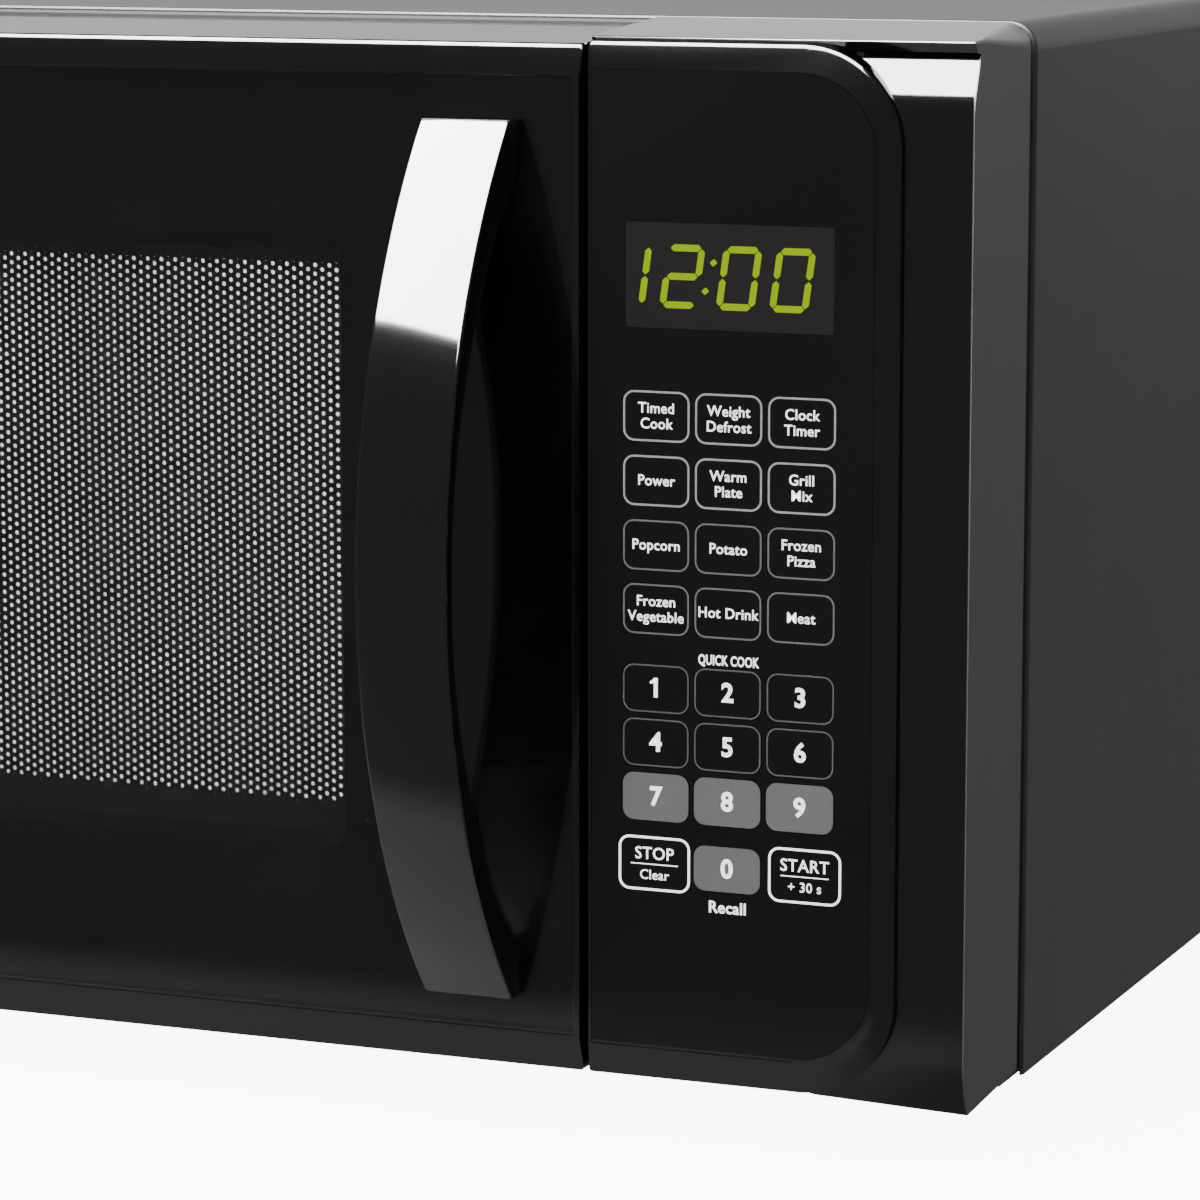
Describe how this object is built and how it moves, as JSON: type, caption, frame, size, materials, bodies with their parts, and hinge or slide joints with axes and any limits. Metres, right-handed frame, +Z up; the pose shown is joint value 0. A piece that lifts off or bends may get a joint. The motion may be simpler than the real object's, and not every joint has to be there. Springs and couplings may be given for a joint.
{
  "type": "countertop microwave oven",
  "caption": "Black countertop microwave oven with side-hinged glass door, bowed handle, key panel, turntable, grill rod and working internals.",
  "frame": {"origin": "bottom centre of the whole object's bounding box, on the worktop under the feet", "axes": "+X to the right seen from the front, +Y towards the rear panel, +Z up"},
  "size_m": [0.513, 0.477, 0.3095],
  "materials": {
    "cabinet_paint": "satin charcoal powder paint on sheet steel",
    "galvanised_steel": "galvanised sheet steel with faint spangle",
    "oven_enamel": "light grey epoxy paint, satin",
    "front_enamel": "black epoxy paint, satin",
    "foot_rubber": "moulded black rubber",
    "mica": "pressed mica sheet",
    "machine_steel": "bare and plated steel",
    "capacitor_can": "drawn aluminium can",
    "inner_plastic": "off-white heat-resistant moulding",
    "gland_rubber": "black moulded rubber",
    "black_gloss": "glossy black moulded plastic",
    "black_overlay": "printed smooth black panel",
    "display_lens": "dark tinted window",
    "circuit_board": "green solder mask",
    "door_glass": "dark tinted toughened glass",
    "screen_enamel": "black enamelled perforated steel",
    "inner_cover_plastic": "black satin moulding",
    "handle_gloss": "glossy black lacquer",
    "tray_glass": "clear toughened glass"
  },
  "bodies": {
    "chassis": {"outer_cabinet": "cabinet_paint", "base_plate": "cabinet_paint", "rear_panel": "galvanised_steel", "cavity_liner": "oven_enamel", "front_frame": "front_enamel", "feet": "foot_rubber", "case_screws": "galvanised_steel", "waveguide_cover": "mica", "magnetron": "machine_steel", "transformer": "machine_steel", "capacitor": "capacitor_can", "fan_motor": "inner_plastic", "turntable_motor": "inner_plastic", "oven_lamp": "inner_plastic", "grill_element": "machine_steel", "latch_bracket": "inner_plastic", "door_switches": "inner_plastic", "cord_gland": "gland_rubber", "control_bezel": "black_gloss", "overlay_panel": "black_overlay", "display_window": "display_lens", "control_board": "circuit_board", "hinge_brackets": "galvanised_steel"},
    "door": {"door_frame": "black_gloss", "door_glass": "door_glass", "door_screen": "screen_enamel", "door_inner_cover": "inner_cover_plastic", "door_handle": "handle_gloss"},
    "latch": {"latch_hooks": "inner_plastic"},
    "fan": {"fan_blade": "inner_plastic"},
    "coupler": {"drive_coupler": "inner_plastic"},
    "ring": {"roller_ring": "inner_plastic"},
    "tray": {"glass_tray": "tray_glass"},
    "wheel_1": {"roller_wheel_1": "inner_plastic"},
    "wheel_2": {"roller_wheel_2": "inner_plastic"},
    "wheel_3": {"roller_wheel_3": "inner_plastic"},
    "key_cook_body": {"key_cook": "black_overlay"},
    "key_defrost_body": {"key_defrost": "black_overlay"},
    "key_clock_body": {"key_clock": "black_overlay"},
    "key_power_body": {"key_power": "black_overlay"},
    "key_plate_body": {"key_plate": "black_overlay"},
    "key_grill_body": {"key_grill": "black_overlay"},
    "key_popcorn_body": {"key_popcorn": "black_overlay"},
    "key_potato_body": {"key_potato": "black_overlay"},
    "key_pizza_body": {"key_pizza": "black_overlay"},
    "key_vegetable_body": {"key_vegetable": "black_overlay"},
    "key_drink_body": {"key_drink": "black_overlay"},
    "key_meat_body": {"key_meat": "black_overlay"},
    "key_0_body": {"key_0": "black_overlay"},
    "key_1_body": {"key_1": "black_overlay"},
    "key_2_body": {"key_2": "black_overlay"},
    "key_3_body": {"key_3": "black_overlay"},
    "key_4_body": {"key_4": "black_overlay"},
    "key_5_body": {"key_5": "black_overlay"},
    "key_6_body": {"key_6": "black_overlay"},
    "key_7_body": {"key_7": "black_overlay"},
    "key_8_body": {"key_8": "black_overlay"},
    "key_9_body": {"key_9": "black_overlay"},
    "key_stop_body": {"key_stop": "black_overlay"},
    "key_start_body": {"key_start": "black_overlay"}
  },
  "joints": [
    {"name": "door_hinge", "type": "hinge", "parent": "chassis", "child": "door", "pos_m": [-0.251, -0.1575, 0.16], "axis": [0, 0, -1], "range_deg": [0, 105]},
    {"name": "latch_slide", "type": "slide", "parent": "door", "child": "latch", "axis": [0, 0, 1], "range_m": [0, 0.005], "stiffness_N_per_m": 400, "springref_m": -0.002},
    {"name": "fan_spin", "type": "hinge", "parent": "chassis", "child": "fan", "pos_m": [0.19, 0.201, 0.2], "axis": [0, 1, 0], "continuous": true},
    {"name": "coupler_spin", "type": "hinge", "parent": "chassis", "child": "coupler", "pos_m": [-0.058, 0.033, 0.04], "axis": [0, 0, 1], "continuous": true},
    {"name": "ring_spin", "type": "hinge", "parent": "chassis", "child": "ring", "pos_m": [-0.058, 0.033, 0.0427], "axis": [0, 0, 1], "continuous": true},
    {"name": "tray_lift", "type": "slide", "parent": "coupler", "child": "tray", "axis": [0, 0, 1], "range_m": [0, 0.12]},
    {"name": "wheel_1_spin", "type": "hinge", "parent": "ring", "child": "wheel_1", "pos_m": [-0.058, 0.142, 0.0427], "axis": [0, 1, 0], "continuous": true},
    {"name": "wheel_2_spin", "type": "hinge", "parent": "ring", "child": "wheel_2", "pos_m": [-0.1524, -0.0215, 0.0427], "axis": [-0.866, -0.5, 0], "continuous": true},
    {"name": "wheel_3_spin", "type": "hinge", "parent": "ring", "child": "wheel_3", "pos_m": [0.0364, -0.0215, 0.0427], "axis": [0.866, -0.5, 0], "continuous": true},
    {"name": "key_cook_press", "type": "slide", "parent": "chassis", "child": "key_cook_body", "axis": [0, 1, 0], "range_m": [0, 0.0004], "stiffness_N_per_m": 3000},
    {"name": "key_defrost_press", "type": "slide", "parent": "chassis", "child": "key_defrost_body", "axis": [0, 1, 0], "range_m": [0, 0.0004], "stiffness_N_per_m": 3000},
    {"name": "key_clock_press", "type": "slide", "parent": "chassis", "child": "key_clock_body", "axis": [0, 1, 0], "range_m": [0, 0.0004], "stiffness_N_per_m": 3000},
    {"name": "key_power_press", "type": "slide", "parent": "chassis", "child": "key_power_body", "axis": [0, 1, 0], "range_m": [0, 0.0004], "stiffness_N_per_m": 3000},
    {"name": "key_plate_press", "type": "slide", "parent": "chassis", "child": "key_plate_body", "axis": [0, 1, 0], "range_m": [0, 0.0004], "stiffness_N_per_m": 3000},
    {"name": "key_grill_press", "type": "slide", "parent": "chassis", "child": "key_grill_body", "axis": [0, 1, 0], "range_m": [0, 0.0004], "stiffness_N_per_m": 3000},
    {"name": "key_popcorn_press", "type": "slide", "parent": "chassis", "child": "key_popcorn_body", "axis": [0, 1, 0], "range_m": [0, 0.0004], "stiffness_N_per_m": 3000},
    {"name": "key_potato_press", "type": "slide", "parent": "chassis", "child": "key_potato_body", "axis": [0, 1, 0], "range_m": [0, 0.0004], "stiffness_N_per_m": 3000},
    {"name": "key_pizza_press", "type": "slide", "parent": "chassis", "child": "key_pizza_body", "axis": [0, 1, 0], "range_m": [0, 0.0004], "stiffness_N_per_m": 3000},
    {"name": "key_vegetable_press", "type": "slide", "parent": "chassis", "child": "key_vegetable_body", "axis": [0, 1, 0], "range_m": [0, 0.0004], "stiffness_N_per_m": 3000},
    {"name": "key_drink_press", "type": "slide", "parent": "chassis", "child": "key_drink_body", "axis": [0, 1, 0], "range_m": [0, 0.0004], "stiffness_N_per_m": 3000},
    {"name": "key_meat_press", "type": "slide", "parent": "chassis", "child": "key_meat_body", "axis": [0, 1, 0], "range_m": [0, 0.0004], "stiffness_N_per_m": 3000},
    {"name": "key_0_press", "type": "slide", "parent": "chassis", "child": "key_0_body", "axis": [0, 1, 0], "range_m": [0, 0.0004], "stiffness_N_per_m": 3000},
    {"name": "key_1_press", "type": "slide", "parent": "chassis", "child": "key_1_body", "axis": [0, 1, 0], "range_m": [0, 0.0004], "stiffness_N_per_m": 3000},
    {"name": "key_2_press", "type": "slide", "parent": "chassis", "child": "key_2_body", "axis": [0, 1, 0], "range_m": [0, 0.0004], "stiffness_N_per_m": 3000},
    {"name": "key_3_press", "type": "slide", "parent": "chassis", "child": "key_3_body", "axis": [0, 1, 0], "range_m": [0, 0.0004], "stiffness_N_per_m": 3000},
    {"name": "key_4_press", "type": "slide", "parent": "chassis", "child": "key_4_body", "axis": [0, 1, 0], "range_m": [0, 0.0004], "stiffness_N_per_m": 3000},
    {"name": "key_5_press", "type": "slide", "parent": "chassis", "child": "key_5_body", "axis": [0, 1, 0], "range_m": [0, 0.0004], "stiffness_N_per_m": 3000},
    {"name": "key_6_press", "type": "slide", "parent": "chassis", "child": "key_6_body", "axis": [0, 1, 0], "range_m": [0, 0.0004], "stiffness_N_per_m": 3000},
    {"name": "key_7_press", "type": "slide", "parent": "chassis", "child": "key_7_body", "axis": [0, 1, 0], "range_m": [0, 0.0004], "stiffness_N_per_m": 3000},
    {"name": "key_8_press", "type": "slide", "parent": "chassis", "child": "key_8_body", "axis": [0, 1, 0], "range_m": [0, 0.0004], "stiffness_N_per_m": 3000},
    {"name": "key_9_press", "type": "slide", "parent": "chassis", "child": "key_9_body", "axis": [0, 1, 0], "range_m": [0, 0.0004], "stiffness_N_per_m": 3000},
    {"name": "key_stop_press", "type": "slide", "parent": "chassis", "child": "key_stop_body", "axis": [0, 1, 0], "range_m": [0, 0.0004], "stiffness_N_per_m": 3000},
    {"name": "key_start_press", "type": "slide", "parent": "chassis", "child": "key_start_body", "axis": [0, 1, 0], "range_m": [0, 0.0004], "stiffness_N_per_m": 3000}
  ],
  "couplings": [
    {"joint": "ring_spin", "follows": "coupler_spin", "ratio": 0.5},
    {"joint": "wheel_1_spin", "follows": "coupler_spin", "ratio": -6.4881},
    {"joint": "wheel_2_spin", "follows": "coupler_spin", "ratio": -6.4881},
    {"joint": "wheel_3_spin", "follows": "coupler_spin", "ratio": -6.4881}
  ]
}
